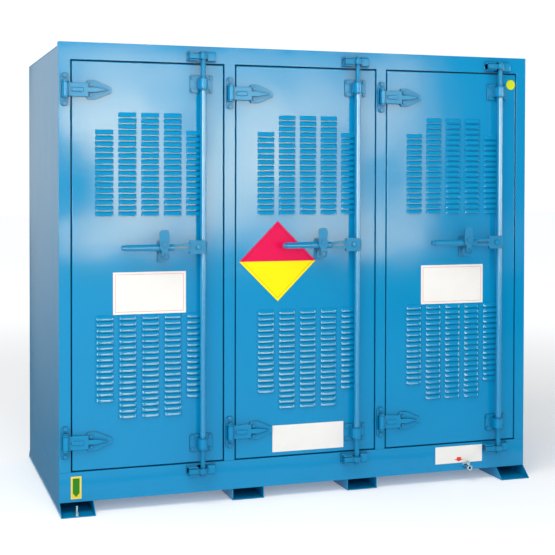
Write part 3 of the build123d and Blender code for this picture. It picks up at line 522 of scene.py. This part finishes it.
def louvreHood():
    # one pressed hood with its lower left corner at the origin
    bm = bmesh.new()
    bmesh.ops.create_grid(bm, x_segments=louvre["across"], y_segments=louvre["down"], size=0.5)
    for vert in bm.verts:
        side = 1 - (1 - 2 * abs(vert.co.x)) ** louvre["endEase"]
        x = math.copysign(side * louvre["width"] / 2, vert.co.x)
        down = (0.5 - vert.co.y) ** louvre["lipEase"]
        bend = max(0.0, 1 - (louvre["width"] / 2 - abs(x)) / louvre["endRadius"])
        roundEnd = math.sqrt(max(0.0, 1 - bend * bend))
        rise = louvre["rise"] * math.sin(down * math.pi / 2) ** louvre["crownEase"] * roundEnd
        vert.co = (x + louvre["width"] / 2, -rise, (1 - down) * louvre["height"])
    bmesh.ops.recalc_face_normals(bm, faces=bm.faces)
    if bm.faces[0].normal.y > 0:
        bmesh.ops.reverse_faces(bm, faces=bm.faces)
    return meshFrom(bm, "louvreHood")


hoodMesh = louvreHood()


def slitSheet(low, high, places):
    # the front of a leaf, open behind each louvre
    bm = bmesh.new()
    frontSheet(bm, (low.x, low.z), (high.x, high.z), leaf["front"])
    for x in sorted({round(left, cutDigits) for left, bottom in places}):
        cutAcross(bm, 0, x)
        cutAcross(bm, 0, x + louvre["width"])
    for z in sorted({round(bottom, cutDigits) for left, bottom in places}):
        cutAcross(bm, 2, z)
        cutAcross(bm, 2, z + louvre["height"])
    corners = {(round(left, cornerDigits), round(bottom, cornerDigits)) for left, bottom in places}
    slits = []
    for face in bm.faces:
        corner = tuple(round(min(vert.co[axis] for vert in face.verts), cornerDigits) for axis in (0, 2))
        if corner in corners:
            slits.append(face)
    bmesh.ops.delete(bm, geom=slits, context="FACES")
    return bm


def foldRim(bm, low, high, centre):
    # side walls and a rear flange, folded from the rim of the sheet
    limits = ((0, low.x), (0, high.x), (2, low.z), (2, high.z))
    rim = [edge for edge in bm.edges if edge.is_boundary and any(liesAt(edge, *limit) for limit in limits)]
    walls = bmesh.ops.extrude_edge_only(bm, edges=rim)["geom"]
    bmesh.ops.translate(bm, verts=vertsOf(walls), vec=(0, leaf["depth"], 0))
    rear = leaf["front"] + leaf["depth"]
    back = [edge for edge in edgesOf(walls) if liesAt(edge, 1, rear)]
    flange = bmesh.ops.extrude_edge_only(bm, edges=back)["geom"]
    width, height = high.x - low.x, high.z - low.z
    bmesh.ops.scale(
        bm,
        verts=vertsOf(flange),
        vec=((width - 2 * leaf["flange"]) / width, 1, (height - 2 * leaf["flange"]) / height),
        space=Matrix.Translation(-centre),
    )
    bmesh.ops.recalc_face_normals(bm, faces=bm.faces)
    frontFace = min(bm.faces, key=lambda face: face.calc_center_median().y)
    if frontFace.normal.y > 0:
        bmesh.ops.reverse_faces(bm, faces=bm.faces)
    sharp = math.radians(leaf["foldAngle"])
    folds = [edge for edge in bm.edges if len(edge.link_faces) == 2 and edge.calc_face_angle(0) > sharp]
    bmesh.ops.bevel(
        bm, geom=folds, offset=leaf["fold"], offset_type="OFFSET", segments=leaf["foldSegments"],
        profile=0.5, affect="EDGES", material=-1, clamp_overlap=False,
    )


def louvredLeaf(door):
    node = f"door_leaf_{door}"
    low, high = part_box(node)
    y = leaf["front"]
    centre = Vector(((low.x + high.x) / 2, y, (low.z + high.z) / 2))
    places = louvrePlaces(centre)
    bm = slitSheet(low, high, places)
    foldRim(bm, low, high, centre)
    for left, bottom in places:
        hoodMesh.transform(Matrix.Translation((left, y, bottom)))
        bm.from_mesh(hoodMesh)
        hoodMesh.transform(Matrix.Translation((-left, -y, -bottom)))
    bmesh.ops.remove_doubles(bm, verts=bm.verts, dist=merged)
    piece = finishPiece(bm, f"louvredLeaf{door}", node, [paint["panelPaint"]], leaf["smoothBelow"])
    gauge = piece.modifiers.new("gauge", "SOLIDIFY")
    gauge.thickness = leaf["sheet"]
    gauge.offset = -1
    piece.modifiers.new("flatPanels", "WEIGHTED_NORMAL").keep_sharp = True
    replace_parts(piece, node)


# a rail across the middle of the leaf's inside
stiffener = {"height": 0.060, "depth": 0.020, "inset": 0.003, "fold": 0.003, "foldSegments": 3}


def leafStiffener(door):
    node = f"door_leaf_{door}"
    low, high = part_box(node)
    size = (high.x - low.x - 2 * stiffener["inset"], stiffener["depth"], stiffener["height"])
    front = leaf["front"] + leaf["sheet"]
    centre = ((low.x + high.x) / 2, front + stiffener["depth"] / 2, (low.z + high.z) / 2)
    bm = block(size, centre)
    rear = front + stiffener["depth"]
    corners = [edge for edge in bm.edges if liesAt(edge, 1, rear)]
    bmesh.ops.bevel(
        bm, geom=corners, offset=stiffener["fold"], offset_type="OFFSET",
        segments=stiffener["foldSegments"], profile=0.5, affect="EDGES", material=-1, clamp_overlap=True,
    )
    finishPiece(bm, f"leafStiffener{door}", node, [paint["panelPaint"]])


for door in doors:
    louvredLeaf(door)
    leafStiffener(door)
print("louvred door leaves pressed")

# printed plates: all sizes in metres
whitePlates = {
    "sign_plate_left": {"margin": 0.009, "line": 0.0022},
    "sign_plate_right": {"margin": 0.009, "line": 0.0022},
    "capacity_plate": {"margin": 0.0, "line": 0.0},
    "drain_plate": {"margin": 0.0, "line": 0.0},
}


def plateBlock(node):
    low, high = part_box(node)
    return block(high - low, (low + high) / 2)


def printedFace(bm):
    return min(bm.faces, key=lambda face: face.calc_center_median().y)


def insetPrint(bm, width):
    return bmesh.ops.inset_region(
        bm, faces=[printedFace(bm)], thickness=width, depth=0, use_even_offset=True
    )["faces"]


def printLine(bm, margin, line, number):
    # a line round the plate, printed with the material of that number
    insetPrint(bm, margin)
    for face in insetPrint(bm, line):
        face.material_index = number


def whitePlate(node, look):
    bm = plateBlock(node)
    if look["line"] > 0:
        printLine(bm, look["margin"], look["line"], 1)
    name = node.replace("_plate", "").replace("_", "") + "Print"
    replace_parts(finishPiece(bm, name, node, [ink["whiteInk"], ink["lineInk"]]), node)


for node, look in whitePlates.items():
    whitePlate(node, look)

placard = {"side": 0.250, "margin": 0.010, "line": 0.0022}


def twoColourDiamond():
    node = "hazard_placard"
    low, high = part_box(node)
    bm = block((placard["side"], high.y - low.y, placard["side"]), (0, 0, 0))
    printLine(bm, placard["margin"], placard["line"], 2)
    turnVerts(bm, bm.verts, 45, "Y")
    cutAcross(bm, 2, 0)
    for face in bm.faces:
        if face.calc_center_median().z < 0:
            face.material_index += 1
    bmesh.ops.translate(bm, verts=bm.verts, vec=(low + high) / 2)
    colours = ("crimsonInk", "yellowInk", "crimsonLineInk", "yellowLineInk")
    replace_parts(finishPiece(bm, "diamondPrint", node, [ink[name] for name in colours]), node)


twoColourDiamond()

arrow = {
    "width": 0.048,
    "height": 0.020,
    "headShare": 0.55,
    "stem": 0.022,
    "drop": 0.022,
    "proud": 0.0002,
}


def drainArrow():
    # a triangle that points down, with a stem on it
    node = "drain_plate"
    low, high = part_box(node)
    bm = bmesh.new()
    bmesh.ops.create_circle(bm, cap_ends=True, segments=3, radius=1)
    turnVerts(bm, bm.verts, 90, "X")
    turnVerts(bm, bm.verts, 180, "Y")
    xs = [vert.co.x for vert in bm.verts]
    zs = [vert.co.z for vert in bm.verts]
    head = arrow["height"] * arrow["headShare"]
    fit = (arrow["width"] / (max(xs) - min(xs)), 1, head / (max(zs) - min(zs)))
    bmesh.ops.scale(bm, verts=bm.verts, vec=fit)
    base = max(vert.co.z for vert in bm.verts)
    bmesh.ops.translate(bm, verts=bm.verts, vec=(0, 0, -base))
    frontSheet(bm, (-arrow["stem"] / 2, 0), (arrow["stem"] / 2, arrow["height"] - head), 0)
    bmesh.ops.remove_doubles(bm, verts=bm.verts, dist=close)
    bmesh.ops.recalc_face_normals(bm, faces=bm.faces)
    for face in bm.faces:
        if face.normal.y > 0:
            face.normal_flip()
    made = bmesh.ops.extrude_face_region(bm, geom=bm.faces[:])["geom"]
    bmesh.ops.translate(bm, verts=vertsOf(made), vec=(0, -arrow["proud"], 0))
    place = Vector(((low.x + high.x) / 2, low.y, (low.z + high.z) / 2 - arrow["drop"]))
    bmesh.ops.translate(bm, verts=bm.verts, vec=place)
    finishPiece(bm, "drainArrow", node, [ink["arrowInk"]])


drainArrow()

earthLabel = {"margin": 0.0015, "line": 0.0025, "field": 0.0045, "point": 0.016}


def pointedLabel():
    # a yellow plate with a green field that points down to the earth stud
    node = "earth_label"
    low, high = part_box(node)
    bm = plateBlock(node)
    printLine(bm, earthLabel["margin"], earthLabel["line"], 1)
    insetPrint(bm, earthLabel["field"])
    green = printedFace(bm)
    green.material_index = 2
    lowest = min(green.edges, key=lambda edge: edge.verts[0].co.z + edge.verts[1].co.z)
    bmesh.ops.subdivide_edges(bm, edges=[lowest], cuts=1)
    green = printedFace(bm)
    centre = (low.x + high.x) / 2
    bottom = min(vert.co.z for vert in green.verts)
    for vert in green.verts:
        if abs(vert.co.z - bottom) < close and abs(vert.co.x - centre) > close:
            vert.co.z += earthLabel["point"]
    colours = ("labelYellowInk", "labelPaleInk", "labelGreenInk")
    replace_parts(finishPiece(bm, "earthPrint", node, [ink[name] for name in colours]), node)


pointedLabel()

spot = {"segments": 48, "margin": 0.0025, "line": 0.0015}


def roundPrint():
    node = "round_label"
    low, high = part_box(node)
    radius, thick = (high.x - low.x) / 2, high.y - low.y
    bm = bmesh.new()
    bmesh.ops.create_cone(
        bm, cap_ends=True, segments=spot["segments"], radius1=radius, radius2=radius, depth=thick
    )
    turnVerts(bm, bm.verts, 90, "X")
    bmesh.ops.translate(bm, verts=bm.verts, vec=(low + high) / 2)
    printLine(bm, spot["margin"], spot["line"], 1)
    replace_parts(finishPiece(bm, "roundPrint", node, [ink["spotInk"], ink["labelGreenInk"]]), node)


roundPrint()
print("plates and labels printed")

# what keeps its CAD shape gets its finish
for name, node in nodes.items():
    if not node.hide_render:
        node.data.materials.clear()
        node.data.materials.append(finishOf[slotOf[name]])
print("inner pieces finished")

# floor, a little brighter far away than close to the store
floorLook = {
    "size": 80,
    "colour": (0.88, 0.885, 0.89, 1),
    "roughness": 0.6,
    "lift": 0.24,
    "farLift": 0.62,
    "near": 2.2,
    "far": 8.0,
}


def paleFloor():
    material, tree, shader = startMaterial("floorPaint")
    shader.inputs["Base Color"].default_value = floorLook["colour"]
    shader.inputs["Roughness"].default_value = floorLook["roughness"]
    shader.inputs["Specular IOR Level"].default_value = 0.0
    shader.inputs["Emission Color"].default_value = floorLook["colour"]
    away = tree.nodes.new("ShaderNodeVectorMath")
    away.operation = "LENGTH"
    tree.links.new(tree.nodes.new("ShaderNodeTexCoord").outputs["Object"], away.inputs[0])
    lift = tree.nodes.new("ShaderNodeMapRange")
    lift.interpolation_type = "SMOOTHSTEP"
    ends = {"From Min": "near", "From Max": "far", "To Min": "lift", "To Max": "farLift"}
    for socket, key in ends.items():
        lift.inputs[socket].default_value = floorLook[key]
    tree.links.new(away.outputs["Value"], lift.inputs["Value"])
    tree.links.new(lift.outputs["Result"], shader.inputs["Emission Strength"])
    bm = bmesh.new()
    bmesh.ops.create_grid(bm, x_segments=1, y_segments=1, size=floorLook["size"] / 2)
    floor = addObject("paleFloor", meshFrom(bm, "paleFloor"))
    floor.data.materials.append(material)


paleFloor()

# lamps, seen neither by the camera nor in the gloss: place, aim and size in metres
softLights = {
    "frontBox": {"place": (-1.2, -8.4, 3.6), "aim": (0, 0, 1.0), "size": (4.5, 3.0), "watts": 215},
    "topBox": {"place": (-2.5, -3.0, 6.0), "aim": (0, 0, 1.0), "size": (4.0, 4.0), "watts": 220},
    "leftBox": {"place": (-7.0, 0.5, 2.6), "aim": (-1.0, 0, 1.0), "size": (3.0, 2.5), "watts": 40},
}
lampColour = (1.0, 0.97, 0.94)


def softBox(name, look):
    light = bpy.data.lights.new(name, "AREA")
    light.shape = "RECTANGLE"
    light.size, light.size_y = look["size"]
    light.energy = look["watts"]
    light.color = lampColour
    lamp = addObject(name, light)
    lamp.location = look["place"]
    aim = Vector(look["aim"]) - Vector(look["place"])
    lamp.rotation_euler = aim.to_track_quat("-Z", "Y").to_euler()
    lamp.visible_camera = False
    lamp.visible_glossy = False


for name, look in softLights.items():
    softBox(name, look)

# soft-edged sheets that show only in the gloss of the paint: centre and size in metres, turn in degrees;
# slope dims a sheet from left to right, roam makes its edges wander and mottle its middle uneven
cards = {
    "warmCard": {
        "centre": (2.05, -8.0, 1.675), "size": (5.2, 2.69), "turn": 0, "flat": False,
        "colour": (1.0, 0.75, 0.38, 1), "glow": 20.5, "rest": 0.2, "slope": 0.62,
        "fade": (0.08, 0.13), "cloud": 0.9, "roam": 0.08, "mottle": 1.1,
    },
    "darkCard": {
        "centre": (0.05, -7.9, 1.37), "size": (0.62, 0.67), "turn": 0, "flat": False,
        "colour": (1.0, 0.75, 0.38, 1), "glow": 0.5, "rest": 0.4, "slope": 0.0,
        "fade": (0.1, 0.1), "cloud": 0.9, "roam": 0.0, "mottle": 0.0,
    },
    "leftCard": {
        "centre": (-3.4, -7.0, 1.9), "size": (6.0, 3.4), "turn": 38, "flat": False,
        "colour": (1.0, 0.88, 0.70, 1), "glow": 20.0, "rest": 0.4, "slope": 0.0,
        "fade": (0.15, 0.15), "cloud": 0.8, "roam": 0.15, "mottle": 0.0,
    },
    "rightCard": {
        "centre": (9.2, -5.8, 2.0), "size": (6.0, 4.0), "turn": -45, "flat": False,
        "colour": (1.0, 0.90, 0.75, 1), "glow": 16.0, "rest": 0.4, "slope": 0.0,
        "fade": (0.12, 0.12), "cloud": 0.8, "roam": 0.1, "mottle": 0.0,
    },
    "backCard": {
        "centre": (-2.6, 1.1, 2.2), "size": (3.0, 5.0), "turn": 0, "flat": False,
        "colour": (1.0, 0.97, 0.9, 1), "glow": 0.62, "rest": 0.15, "slope": 0.0,
        "fade": (0.02, 0.38), "cloud": 1.5, "roam": 0.03, "mottle": 0.0,
    },
    "frontFloorCard": {
        "centre": (2.4, -7.0, 0.003), "size": (12.0, 12.0), "turn": 0, "flat": True,
        "colour": (0.9, 0.95, 1.0, 1), "glow": 1.9, "rest": 0.0, "slope": 1.6,
        "fade": (0.01, 0.01), "cloud": 1.5, "roam": 0.0, "mottle": 0.0,
    },
    "sideFloorCard": {
        "centre": (-5.0, 3.0, 0.003), "size": (7.8, 9.0), "turn": 0, "flat": True,
        "colour": (0.9, 0.95, 1.0, 1), "glow": 0.17, "rest": 0.17, "slope": 0.0,
        "fade": (0.01, 0.01), "cloud": 1.5, "roam": 0.0, "mottle": 0.0,
    },
}
cloudDetail = 3.0
cloudMiddle = 0.5  # value that the noise swings about
roamGain = 2  # how far that swing moves the edges
mottleGain = 4  # how much it changes the middle


def cardGlow(name, look):
    # bright in the middle, fading with a cloudy edge
    material, tree, shader = startMaterial(name)
    shader.inputs["Base Color"].default_value = (0, 0, 0, 1)
    shader.inputs["Specular IOR Level"].default_value = 0.0
    shader.inputs["Emission Color"].default_value = look["colour"]
    cloud = patches(tree, look["cloud"], cloudDetail).outputs["Fac"]
    swing = linkedMath(tree, "SUBTRACT", cloud, cloudMiddle)
    roam = linkedMath(tree, "MULTIPLY", swing, look["roam"] * roamGain)
    layout = tree.nodes.new("ShaderNodeUVMap")
    split = tree.nodes.new("ShaderNodeSeparateXYZ")
    tree.links.new(layout.outputs["UV"], split.inputs["Vector"])
    loss = linkedMath(tree, "MULTIPLY", split.outputs["X"], -look["slope"])
    kept = linkedMath(tree, "MAXIMUM", linkedMath(tree, "ADD", loss, 1.0), 0.0)
    glow = linkedMath(tree, "MULTIPLY", kept, look["glow"] - look["rest"])
    swell = linkedMath(tree, "MULTIPLY", swing, look["mottle"] * mottleGain)
    glow = linkedMath(tree, "MULTIPLY", linkedMath(tree, "ADD", swell, 1.0), glow)
    for axis, blur in zip(("X", "Y"), look["fade"]):
        moved = linkedMath(tree, "ADD", linkedMath(tree, "SUBTRACT", split.outputs[axis], 0.5), roam)
        reach = 0.5 - look["roam"] / 2
        inside = linkedMath(tree, "SUBTRACT", reach, linkedMath(tree, "ABSOLUTE", moved))
        fade = tree.nodes.new("ShaderNodeMapRange")
        fade.interpolation_type = "SMOOTHSTEP"
        fade.inputs["From Max"].default_value = blur
        tree.links.new(inside, fade.inputs["Value"])
        glow = linkedMath(tree, "MULTIPLY", fade.outputs["Result"], glow)
    tree.links.new(linkedMath(tree, "ADD", glow, look["rest"]), shader.inputs["Emission Strength"])
    return material


def glossCard(name, look):
    bm = bmesh.new()
    bm.loops.layers.uv.new("cardLayout")
    bmesh.ops.create_grid(bm, x_segments=1, y_segments=1, size=0.5, calc_uvs=True)
    bmesh.ops.scale(bm, verts=bm.verts, vec=(*look["size"], 1))
    if not look["flat"]:
        turnVerts(bm, bm.verts, 90, "X")
    turnVerts(bm, bm.verts, -look["turn"], "Z")
    bmesh.ops.translate(bm, verts=bm.verts, vec=look["centre"])
    card = addObject(name, meshFrom(bm, name))
    card.data.materials.append(cardGlow(name + "Glow", look))
    card.visible_camera = False
    card.visible_diffuse = False
    card.visible_shadow = False


for name, look in cards.items():
    glossCard(name, look)

# light from all round: how bright it is, is seen and is mirrored
sky = {"colour": (0.96, 0.98, 1.0, 1), "strength": 0.50, "seen": 1.06, "mirrored": 0.20}


def softSky():
    world = bpy.data.worlds.new("softSky")
    bpy.context.scene.world = world
    world.use_nodes = True
    tree = world.node_tree
    backdrop = tree.nodes["Background"]
    backdrop.inputs["Color"].default_value = sky["colour"]
    strength = sky["strength"]
    for ray, key in (("Is Camera Ray", "seen"), ("Is Glossy Ray", "mirrored")):
        hit = tree.nodes.new("ShaderNodeLightPath").outputs[ray]
        change = linkedMath(tree, "MULTIPLY", hit, sky[key] - sky["strength"])
        strength = linkedMath(tree, "ADD", change, strength)
    tree.links.new(strength, backdrop.inputs["Strength"])


softSky()

# found from the photograph's edges: place in metres, turns in degrees, focal length, centre and frame in
# pixels, sensor in millimetres
photoView = {
    "place": (-1.7878, -5.4987, 1.4106),
    "yaw": 18.34,
    "pitch": -1.14,
    "roll": 0.11,
    "focal": 1190.8,
    "centre": (277.5, 201.7),
    "frame": 555,
    "sensor": 36,
    "farthest": 200,
}


def photoCamera():
    yaw, pitch, roll = (math.radians(photoView[turn]) for turn in ("yaw", "pitch", "roll"))
    ahead = Vector((math.sin(yaw) * math.cos(pitch), math.cos(yaw) * math.cos(pitch), math.sin(pitch)))
    level = Vector((math.cos(yaw), -math.sin(yaw), 0))
    upright = level.cross(ahead)
    right = level * math.cos(roll) + upright * math.sin(roll)
    up = upright * math.cos(roll) - level * math.sin(roll)
    camera = addObject("photoCamera", bpy.data.cameras.new("photoCamera"))
    turned = Matrix((right, up, -ahead)).transposed().to_4x4()
    camera.matrix_world = Matrix.Translation(photoView["place"]) @ turned
    size = photoView["frame"]
    camera.data.sensor_width = photoView["sensor"]
    camera.data.lens = photoView["focal"] * photoView["sensor"] / size
    camera.data.shift_x = (size / 2 - photoView["centre"][0]) / size
    camera.data.shift_y = (photoView["centre"][1] - size / 2) / size
    camera.data.clip_end = photoView["farthest"]
    bpy.context.scene.camera = camera


photoCamera()
bpy.context.scene.view_settings.view_transform = "Standard"
print("floor, lights and camera placed")
